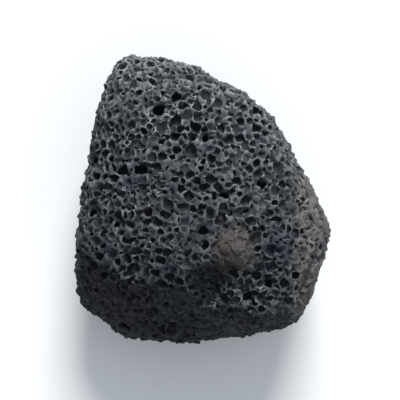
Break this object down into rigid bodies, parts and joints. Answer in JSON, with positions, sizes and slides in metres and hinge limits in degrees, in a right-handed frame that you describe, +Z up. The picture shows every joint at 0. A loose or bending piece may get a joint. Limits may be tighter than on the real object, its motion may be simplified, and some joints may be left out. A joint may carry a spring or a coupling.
{
  "type": "lava rock",
  "caption": "Palm-sized lump of black vesicular lava rock with a porous crown, a steep front skirt and a small flat facet to rest on.",
  "frame": {"origin": "middle of the bounding box, on the resting facet at z = 0", "axes": "+Z up, from the resting facet to the crown; +Y towards the back edge and -Y towards the steep front skirt; +X towards the tan right flank"},
  "size_m": [0.066, 0.075, 0.0465],
  "materials": {
    "vesicular_basalt": "matte black vesicular lava, rims of the pores worn grey, light tan dust on the knob and the right flank"
  },
  "bodies": {
    "root": {"lava_rock": "vesicular_basalt"}
  },
  "joints": []
}
